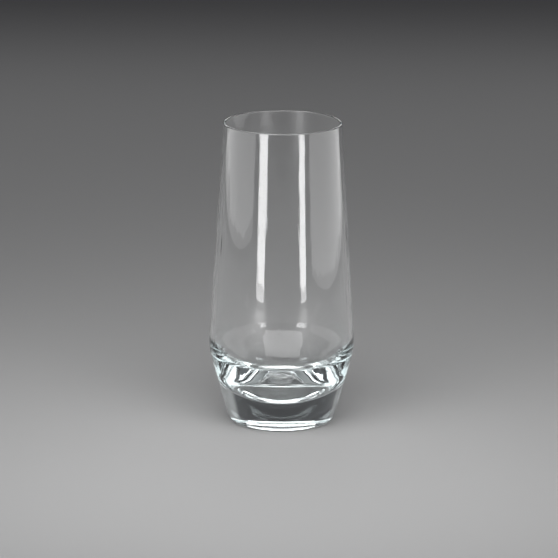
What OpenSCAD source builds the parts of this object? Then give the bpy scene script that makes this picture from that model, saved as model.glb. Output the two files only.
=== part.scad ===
// A tall clear tumbler in one piece of glass, turned about the Z axis and standing on z = 0.
// The upper wall narrows to the mouth, the lower wall tapers to a narrow heavy foot, and the two
// meet in a soft shoulder. Inside, the cavity falls from its own shoulder to a round bowl, so
// the base below it is solid. All lengths are in millimetres.

/* [Outside] */
// Height of the glass
glass_h = 155; // [125:1:185]
// Width across the rim
mouth_d = 60; // [52:0.5:68]
// Width at the shoulder, where the two outer walls would meet in a sharp edge
shoulder_d = 74.8; // [71:0.1:84]
// Height of that edge above the table
shoulder_h = 38.3; // [34:0.1:46]
// Radius that softens the shoulder
shoulder_round = 30; // [6:0.5:40]

/* [Foot] */
// Width where the lower wall would meet the table in a sharp edge
foot_d = 53.4; // [48:0.1:58]
// Radius of the foot's lower edge
foot_round = 3; // [1.5:0.1:4.5]
// Width of the hollow under the foot, inside the ring that the glass stands on
punt_d = 42; // [32:0.5:43]
// Height of that hollow in its middle
punt_h = 2; // [0.6:0.1:2.6]
// Radius that softens the inner edge of the standing ring
ring_round = 5; // [2:0.5:8]

/* [Cavity] */
// Thickness of the wall at the rim
lip_t = 1.1; // [0.9:0.05:1.6]
// Radius of the two edges of the rim
lip_round = 0.5; // [0.2:0.05:0.5]
// Thickness of the wall at the shoulder, measured level
shoulder_t = 1.8; // [1.4:0.1:3.5]
// Height of the cavity's own shoulder, where its steep wall meets its sloping side
cavity_shoulder_h = 38.8; // [36:0.1:44]
// Radius that softens the cavity's shoulder
cavity_shoulder_round = 16; // [6:0.5:22]
// Thickness of the solid base on the axis
floor_t = 13.6; // [9:0.1:16]
// Radius of the cavity's round bottom
bowl_round = 34; // [27:0.5:34.5]

/* [Hidden] */
$fn = 120;

// Share of the hollow's half width that its round crown reaches to
punt_crown_share = 0.8;
// How far the half plane that keeps one side of the section reaches past it
overrun = 1;

mouth_r = mouth_d / 2;
shoulder_r = shoulder_d / 2;
foot_r = foot_d / 2;
punt_r = punt_d / 2;

// The two ends of the lower wall
foot_edge = [foot_r, 0];
shoulder_edge = [shoulder_r, shoulder_h];

// The rim's two edges, which are no rounder than their share of its thickness
rim_edge_share = 0.48;
rim_round = min(lip_round, lip_t * rim_edge_share);
rim_outer = [mouth_r, glass_h];
rim_inner = [mouth_r - lip_t, glass_h];

// The outer wall's radius at a height, above the shoulder
function upper_wall_r(h) = shoulder_r + (mouth_r - shoulder_r) * (h - shoulder_h) / (glass_h - shoulder_h);

// The cavity's shoulder, and the point on the axis where its sloping side would end if the
// bowl didn't round it: the side is the line from the shoulder that touches the bowl's circle
cavity_edge = [upper_wall_r(cavity_shoulder_h) - shoulder_t, cavity_shoulder_h];
bowl_centre = [0, floor_t + bowl_round];
to_bowl = bowl_centre - cavity_edge;
cavity_slope = asin(bowl_round / norm(to_bowl)) - atan2(to_bowl.y, -to_bowl.x);
cavity_point = [0, cavity_edge.y - cavity_edge.x * tan(cavity_slope)];

// The hollow under the foot: a shallow cone with a round crown of the stated height
punt_edge = [punt_r, 0];
crown_r = punt_r * punt_crown_share;
punt_slope = punt_h / (punt_r - crown_r / 2);
punt_point = [0, punt_r * punt_slope];
punt_round = crown_r / sin(atan(punt_slope));

// Each corner of one half of the section, from the hollow under the foot round to the cavity,
// with the radius that softens it. The first and the last lie on the axis.
half_corners = [
    [punt_point, punt_round],
    [punt_edge, ring_round],
    [foot_edge, foot_round],
    [shoulder_edge, shoulder_round],
    [rim_outer, rim_round],
    [rim_inner, rim_round],
    [cavity_edge, cavity_shoulder_round],
    [cavity_point, bowl_round]
];

// Unit vector along v
function along(v) = v / norm(v);

// Angle at the corner p between its sides to a and to b
function corner_angle(a, p, b) = acos(along(a - p) * along(b - p));

// Point on the side from the corner p to a where an arc of radius r ends
function arc_end(a, p, b, r) = p + along(a - p) * r / tan(corner_angle(a, p, b) / 2);

// Centre of that arc
function arc_centre(a, p, b, r) =
    p + along(along(a - p) + along(b - p)) * r / sin(corner_angle(a, p, b) / 2);

function mirrored(corner) = [[-corner[0].x, corner[0].y], corner[1]];

// The slice between an arc of radius r and its chord, on the side of the corner p that it rounds
module arc_slice(a, p, b, r) {
    first = arc_end(a, p, b, r);
    last = arc_end(b, p, a, r);
    out = p - (first + last) / 2;
    intersection() {
        translate(arc_centre(a, p, b, r)) circle(r);
        polygon([first, last, last + out, first + out]);
    }
}

// An outline whose corners, given anticlockwise as [point, radius], are all rounded by true arcs:
// each corner is cut off along its arc's chord, then the arc's slice is added, or at a hollow
// corner taken away
module soft_outline(corners) {
    n = len(corners);
    function radius(i) = corners[i][1];
    function point(i) = corners[(i + n) % n][0];
    function bulges(i) = cross(point(i) - point(i - 1), point(i + 1) - point(i)) > 0;
    module slices(outward) {
        for (i = [0:n - 1]) if (bulges(i) == outward) arc_slice(point(i - 1), point(i), point(i + 1), radius(i));
    }
    difference() {
        union() {
            polygon([for (i = [0:n - 1]) each [
                arc_end(point(i - 1), point(i), point(i + 1), radius(i)),
                arc_end(point(i + 1), point(i), point(i - 1), radius(i))
            ]]);
            slices(true);
        }
        slices(false);
    }
}

// The whole section through the axis, both sides of it
module section() {
    last = len(half_corners) - 1;
    soft_outline(concat(half_corners, [for (i = [last - 1:-1:1]) mirrored(half_corners[i])]));
}

// The glass: one side of the section, turned about the axis
module tumbler() {
    color([0.86, 0.93, 0.93, 0.4]) rotate_extrude() intersection() {
        section();
        translate([0, -overrun]) square([shoulder_r + overrun, glass_h + 2 * overrun]);
    }
}

tumbler();
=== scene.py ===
# A tall clear glass on a plain pale floor, under soft studio light. All lengths are in metres.
import math

import bmesh
import bpy
from mathutils import Matrix, Vector


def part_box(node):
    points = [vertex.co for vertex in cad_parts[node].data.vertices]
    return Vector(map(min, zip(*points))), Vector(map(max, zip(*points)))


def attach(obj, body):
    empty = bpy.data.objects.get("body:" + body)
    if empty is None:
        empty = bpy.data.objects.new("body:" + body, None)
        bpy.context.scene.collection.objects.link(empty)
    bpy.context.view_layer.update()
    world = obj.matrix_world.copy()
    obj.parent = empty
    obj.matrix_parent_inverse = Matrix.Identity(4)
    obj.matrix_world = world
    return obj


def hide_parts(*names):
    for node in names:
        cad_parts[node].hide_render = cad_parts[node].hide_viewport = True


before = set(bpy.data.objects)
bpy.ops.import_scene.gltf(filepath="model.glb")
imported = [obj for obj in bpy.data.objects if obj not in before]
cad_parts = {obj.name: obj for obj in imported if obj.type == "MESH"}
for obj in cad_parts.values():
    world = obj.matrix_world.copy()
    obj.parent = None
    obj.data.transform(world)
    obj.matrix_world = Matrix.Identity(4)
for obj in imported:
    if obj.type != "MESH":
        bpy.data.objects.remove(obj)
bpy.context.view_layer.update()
glass_low, glass_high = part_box("tumbler")

MM = 0.001

# The glass, with the sizes of the CAD solid that the mesh stands for
GLASS_H = glass_high.z
MOUTH_D = 60 * MM
SHOULDER_D = 74.8 * MM
SHOULDER_H = 38.3 * MM
SHOULDER_ROUND = 30 * MM
FOOT_D = 53.4 * MM
FOOT_ROUND = 3 * MM
PUNT_D = 42 * MM
PUNT_H = 2 * MM
PUNT_CROWN_SHARE = 0.8
RING_ROUND = 5 * MM
LIP_T = 1.1 * MM
LIP_ROUND = 0.5 * MM
SHOULDER_T = 1.8 * MM
CAVITY_SHOULDER_H = 38.8 * MM
CAVITY_SHOULDER_ROUND = 16 * MM
FLOOR_T = 13.6 * MM
BOWL_ROUND = 34 * MM

# How finely the mesh follows the form
SEGMENTS = 256
ARC_STEP = math.radians(1.5)
ARC_STEPS_MIN = 12
WALL_STEP = 4 * MM
# How far past the axis a point of the outline may be by rounding
AXIS_SLACK = MM * MM

# Waves in the inner wall, from the blowing: they fade out towards the bowl and come and go in patches
WAVE_START, WAVE_FULL = 25 * MM, 45 * MM
WAVE_DEPTH = 0.18 * MM
WAVES_PER_M, PATCHES_PER_M = 260, 30
WAVE_DETAIL = 2
WAVE_STRETCH = 0.1
# The waves' share between patches, and the levels of the noise where a patch begins and is full
WAVE_LEAST = 0.25
PATCH_EDGE = (0.4, 0.65)

# Fine scratches on the ring that slides on the table
SCRATCH_H = 0.3 * MM
SCRATCHES_PER_M = 2500
SCRATCH_ROUGHNESS = 0.25

GLASS_IOR = 1.52
GLASS_TINT = (0.7, 0.9, 0.92, 1)
GLASS_TINT_PER_M = 5

# The camera, found from the photograph's outline: its place and its view in the photograph's pixels
PHOTO_SIDE = 558
CAMERA_DISTANCE = 12 * GLASS_H
CAMERA_H = 3.5118 * GLASS_H
CAMERA_PITCH = math.radians(14.208)
CAMERA_ROLL = math.radians(0.33)
FOCAL_PIXELS = 3763.9
AXIS_PIXELS = 3.01
SENSOR_MM = 36
CAMERA_NEAR = 10 * MM

# The floor lies this much below the ring that the glass stands on, so that the two faces don't coincide
FLOOR_GAP = 0.05 * MM
FLOOR_SIDE = 6
FLOOR_GREY = (0.45, 0.45, 0.45, 1)
FLOOR_ROUGHNESS = 0.8

# The room round the glass: its light low down and higher up, and that of the glow at each side.
# How high a look goes is the sine of its angle above level.
ROOM_LOW = (0.035, 0.035, 0.037, 1)
ROOM_HIGH = (0.07, 0.07, 0.075, 1)
ROOM_HIGH_FROM = 0.25
ROOM_GLOW = (0.3, 0.3, 0.3, 1)
# The glow comes in over the first two heights and goes out over the other two
GLOW_IN = (0, 0.05)
GLOW_OUT = (0.15, 0.35)
# Its level at each azimuth in degrees: 0 is the camera's side and 90 is to the right
GLOW_STOPS = ((-127, 0), (-121, 1), (-95, 1), (-70, 0), (70, 0), (95, 1), (136, 1), (142, 0))

# The most faces that light may pass or be mirrored by on its way through the thick base
MOST_BOUNCES = 24
MOST_MIRRORINGS = 12


def arc(before, corner, after, radius):
    """Points along the arc that rounds a corner, from the side that comes in to the side that goes out.
    Its steps are even in number, so that an arc across the axis has a point on it."""
    back, on = (before - corner).normalized(), (after - corner).normalized()
    half = back.angle(on) / 2
    centre = corner + (back + on).normalized() * radius / math.sin(half)
    spoke = corner + back * radius / math.tan(half) - centre
    turn = math.copysign(math.pi - 2 * half, on.x * back.y - on.y * back.x)
    steps = 2 * max(ARC_STEPS_MIN // 2, math.ceil(abs(turn) / ARC_STEP / 2))
    return [centre + Matrix.Rotation(turn * i / steps, 2) @ spoke for i in range(steps + 1)]


def glass_corners():
    """Each corner of the glass's half section with its radius, from the hollow under the foot round to
    the cavity."""
    mouth_r, shoulder_r, foot_r, punt_r = MOUTH_D / 2, SHOULDER_D / 2, FOOT_D / 2, PUNT_D / 2
    rise = (CAVITY_SHOULDER_H - SHOULDER_H) / (GLASS_H - SHOULDER_H)
    cavity_edge = Vector((shoulder_r + (mouth_r - shoulder_r) * rise - SHOULDER_T, CAVITY_SHOULDER_H))
    to_bowl = Vector((0, FLOOR_T + BOWL_ROUND)) - cavity_edge
    slope = math.asin(BOWL_ROUND / to_bowl.length) - math.atan2(to_bowl.y, -to_bowl.x)
    crown_r = punt_r * PUNT_CROWN_SHARE
    punt_slope = PUNT_H / (punt_r - crown_r / 2)
    return [
        (Vector((0, punt_r * punt_slope)), crown_r / math.sin(math.atan(punt_slope))),
        (Vector((punt_r, 0)), RING_ROUND),
        (Vector((foot_r, 0)), FOOT_ROUND),
        (Vector((shoulder_r, SHOULDER_H)), SHOULDER_ROUND),
        (Vector((mouth_r, GLASS_H)), LIP_ROUND),
        (Vector((mouth_r - LIP_T, GLASS_H)), LIP_ROUND),
        (cavity_edge, CAVITY_SHOULDER_ROUND),
        (Vector((0, cavity_edge.y - cavity_edge.x * math.tan(slope))), BOWL_ROUND),
    ]


def glass_outline():
    """The half section's outline as points (radius, height), from the axis to the axis."""
    corners = glass_corners()
    mirror = Matrix(((-1, 0), (0, 1)))
    points = [mirror @ corners[1][0], *(p for p, _ in corners), mirror @ corners[-2][0]]
    arcs = []
    for i, (_, radius) in enumerate(corners):
        arcs += arc(points[i], points[i + 1], points[i + 2], radius)
    half = [p for p in arcs if p.x > -AXIS_SLACK]
    outline = [half[0]]
    for a, b in zip(half, half[1:]):
        steps = max(1, round((b - a).length / WALL_STEP))
        outline += [a.lerp(b, i / steps) for i in range(1, steps + 1)]
    outline[0].x = outline[-1].x = 0
    return outline


def turned_mesh(name, outline):
    """A closed mesh, made by turning an outline that starts and ends on the Z axis."""
    bm = bmesh.new()
    turns = [math.tau * i / SEGMENTS for i in range(SEGMENTS)]
    rings = []
    for p in outline[1:-1]:
        rings.append([bm.verts.new((p.x * math.cos(t), p.x * math.sin(t), p.y)) for t in turns])
    bottom, top = bm.verts.new((0, 0, outline[0].y)), bm.verts.new((0, 0, outline[-1].y))
    for i in range(SEGMENTS):
        j = (i + 1) % SEGMENTS
        bm.faces.new((bottom, rings[0][j], rings[0][i]))
        bm.faces.new((top, rings[-1][i], rings[-1][j]))
        for a, b in zip(rings, rings[1:]):
            bm.faces.new((a[i], a[j], b[j], b[i]))
    mesh = bpy.data.meshes.new(name)
    bm.to_mesh(mesh)
    bm.free()
    mesh.shade_smooth()
    return mesh


def mark_inside(mesh, outline):
    """Give each point of the turned mesh a value: 1 on the cavity and 0 outside."""
    rim = max(range(len(outline)), key=lambda i: outline[i].y)
    values = [float(i > rim) for i in range(1, len(outline) - 1) for _ in range(SEGMENTS)] + [0.0, 1.0]
    mesh.attributes.new("inside", "FLOAT", "POINT").data.foreach_set("value", values)


def add(name, data):
    piece = bpy.data.objects.new(name, data)
    bpy.context.scene.collection.objects.link(piece)
    return piece


def node(tree, kind, inputs=None, **settings):
    """A new shader node with its settings. Each input, by name or place, is a value or the output that it
    comes from."""
    made = tree.nodes.new("ShaderNode" + kind)
    for name, value in settings.items():
        setattr(made, name, value)
    connect(tree, made, inputs or {})
    return made


def connect(tree, made, inputs):
    for key, value in inputs.items():
        if isinstance(value, bpy.types.NodeSocket):
            tree.links.new(value, made.inputs[key])
        else:
            made.inputs[key].default_value = value


def ramp(tree, value, start, end, low=0, high=1):
    """A value that goes from low to high while its input goes from start to end, and stays there."""
    inputs = {"Value": value, "From Min": start, "From Max": end, "To Min": low, "To Max": high}
    return node(tree, "MapRange", inputs).outputs["Result"]


def times(tree, a, b):
    return node(tree, "Math", {0: a, 1: b}, operation="MULTIPLY").outputs["Value"]


def mixed(tree, share, a, b):
    """The colour between a and b, by the share of b. A Mix node takes colours at its inputs 6 and 7 and
    gives one at its output 2."""
    return node(tree, "Mix", {0: share, 6: a, 7: b}, data_type="RGBA").outputs[2]


def new_material(name):
    material = bpy.data.materials.new(name)
    material.use_nodes = True
    return material, material.node_tree, material.node_tree.nodes["Principled BSDF"]


def clear_glass():
    """Clear glass: faint upright waves in the inner wall, a slight blue-green tint in its depth and fine
    scratches where the ring meets the table."""
    material, tree, shader = new_material("clear_glass")
    place = node(tree, "TexCoord").outputs["Object"]
    height = node(tree, "SeparateXYZ", {"Vector": place}).outputs["Z"]

    inside = node(tree, "Attribute", attribute_name="inside").outputs["Fac"]
    patches = node(tree, "TexNoise", {"Vector": place, "Scale": PATCHES_PER_M}).outputs["Fac"]
    fading = times(tree, inside, ramp(tree, height, WAVE_START, WAVE_FULL))
    waviness = times(tree, fading, ramp(tree, patches, *PATCH_EDGE, WAVE_LEAST, 1))
    upright = node(tree, "Mapping", {"Vector": place, "Scale": (1, 1, WAVE_STRETCH)}).outputs["Vector"]
    waves = node(tree, "TexNoise", {"Vector": upright, "Scale": WAVES_PER_M, "Detail": WAVE_DETAIL})
    bump = node(tree, "Bump", {
        "Strength": waviness,
        "Distance": WAVE_DEPTH,
        "Height": waves.outputs["Fac"],
    })

    scratches = node(tree, "TexNoise", {"Vector": place, "Scale": SCRATCHES_PER_M}).outputs["Fac"]
    worn = times(tree, scratches, ramp(tree, height, SCRATCH_H, 0))
    connect(tree, shader, {
        "Base Color": (1, 1, 1, 1),
        "Transmission Weight": 1,
        "IOR": GLASS_IOR,
        "Normal": bump.outputs["Normal"],
        "Roughness": ramp(tree, worn, 0, 1, 0, SCRATCH_ROUGHNESS),
    })
    depth = node(tree, "VolumeAbsorption", {"Color": GLASS_TINT, "Density": GLASS_TINT_PER_M})
    connect(tree, tree.nodes["Material Output"], {"Volume": depth.outputs["Volume"]})
    return material


def make_glass():
    outline = glass_outline()
    mesh = turned_mesh("glass", outline)
    mark_inside(mesh, outline)
    mesh.materials.append(clear_glass())
    glass = add("glass", mesh)
    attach(glass, "root")
    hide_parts("tumbler")


def make_floor():
    material, tree, shader = new_material("pale_floor")
    connect(tree, shader, {"Base Color": FLOOR_GREY, "Roughness": FLOOR_ROUGHNESS, "Specular IOR Level": 0})
    bm = bmesh.new()
    bmesh.ops.create_grid(bm, x_segments=1, y_segments=1, size=FLOOR_SIDE / 2)
    mesh = bpy.data.meshes.new("floor")
    bm.to_mesh(mesh)
    bm.free()
    mesh.materials.append(material)
    floor = add("floor", mesh)
    floor.location.z = glass_low.z - FLOOR_GAP


def softbox(name, azimuth, height, distance, width, tall, radiance, aim, spread=180):
    """A soft light. Its azimuth in degrees is seen from the glass: 0 is the camera's side and a positive
    angle is to the right. Height is that of its middle, and it faces a point on the glass's axis at the
    height aim. A grid on it narrows its spread, and its face stays as bright from straight ahead: the
    energy is what gives that face its radiance."""
    light = bpy.data.lights.new(name, "AREA")
    light.shape = "RECTANGLE"
    light.size, light.size_y = width, tall
    half_spread = math.radians(spread) / 2
    light.spread = 2 * half_spread
    light.energy = 4 * width * tall * radiance * (1 - half_spread / math.tan(half_spread))
    lamp = add(name, light)
    turn = math.radians(azimuth)
    lamp.location = (math.sin(turn) * distance, -math.cos(turn) * distance, height)
    lamp.rotation_euler = (Vector((0, 0, aim)) - lamp.location).to_track_quat("-Z", "Y").to_euler()
    return light


def mirror_light(name, once=False, **what):
    """A softbox that shows only where the glass mirrors it: any number of times, or just once. It stands
    so low that it would otherwise be seen straight through the wall from the far side, and would glare
    on the floor."""
    light = softbox(name, **what)
    light.use_nodes = True
    tree = light.node_tree
    mirrored = node(tree, "LightPath").outputs["Glossy Depth"]
    if once:
        shown = node(tree, "Math", {0: mirrored, 1: 1, 2: 0.5}, operation="COMPARE")
    else:
        shown = node(tree, "Math", {0: mirrored, 1: 1}, operation="MINIMUM")
    connect(tree, tree.nodes["Emission"], {"Strength": shown.outputs["Value"]})


def light_studio():
    softbox("overhead", azimuth=-4, height=0.375, distance=0.185,
            width=0.44, tall=0.35, radiance=3, aim=0.147)
    softbox("back", azimuth=180, height=0.66, distance=1.5,
            width=1.8, tall=0.34, radiance=4, aim=0.02, spread=80)
    mirror_light("front_left", azimuth=-35, height=0.083, distance=0.437,
                 width=0.116, tall=0.22, radiance=6, aim=-0.354, once=True)
    mirror_light("front_right", azimuth=35, height=0.083, distance=0.437,
                 width=0.08, tall=0.22, radiance=6, aim=-0.354, once=True)
    mirror_light("left", azimuth=-92, height=0.21, distance=0.6,
                 width=1, tall=0.4, radiance=1, aim=0.21)
    mirror_light("right", azimuth=92, height=0.207, distance=0.45,
                 width=0.8, tall=0.4, radiance=1, aim=0.207)


def light_room():
    """A dim room that is darker low down, with a soft glow there at both sides."""
    world = bpy.data.worlds.new("room")
    world.use_nodes = True
    tree = world.node_tree
    look = node(tree, "SeparateXYZ", {"Vector": node(tree, "TexCoord").outputs["Generated"]})
    side, ahead, up = look.outputs["X"], times(tree, look.outputs["Y"], -1), look.outputs["Z"]
    azimuth = node(tree, "Math", {0: side, 1: ahead}, operation="ARCTAN2").outputs["Value"]
    glow = node(tree, "ValToRGB", {"Fac": ramp(tree, azimuth, -math.pi, math.pi)})
    glow.color_ramp.elements[-1].color = (0, 0, 0, 1)
    for degrees, level in GLOW_STOPS:
        glow.color_ramp.elements.new(degrees / 360 + 0.5).color = (level, level, level, 1)
    low_down = times(tree, ramp(tree, up, *GLOW_IN), ramp(tree, up, *GLOW_OUT, 1, 0))
    glowing = times(tree, glow.outputs["Color"], low_down)
    room = mixed(tree, ramp(tree, up, 0, ROOM_HIGH_FROM), ROOM_LOW, ROOM_HIGH)
    connect(tree, tree.nodes["Background"], {"Color": mixed(tree, glowing, room, ROOM_GLOW)})
    bpy.context.scene.world = world


def make_camera():
    data = bpy.data.cameras.new("camera")
    data.sensor_width = SENSOR_MM
    data.lens = FOCAL_PIXELS * data.sensor_width / PHOTO_SIDE
    data.clip_start = CAMERA_NEAR
    camera = add("camera", data)
    camera.location = (-AXIS_PIXELS / FOCAL_PIXELS * CAMERA_DISTANCE, -CAMERA_DISTANCE, CAMERA_H)
    camera.rotation_euler = (math.pi / 2 - CAMERA_PITCH, 0, 0)
    camera.rotation_euler.rotate_axis("Z", CAMERA_ROLL)
    bpy.context.scene.camera = camera


make_glass()
make_floor()
light_studio()
light_room()
make_camera()

cycles = bpy.context.scene.cycles
cycles.max_bounces = cycles.transmission_bounces = MOST_BOUNCES
cycles.glossy_bounces = MOST_MIRRORINGS
bpy.context.scene.view_settings.view_transform = "Standard"

bpy.context.view_layer.update()
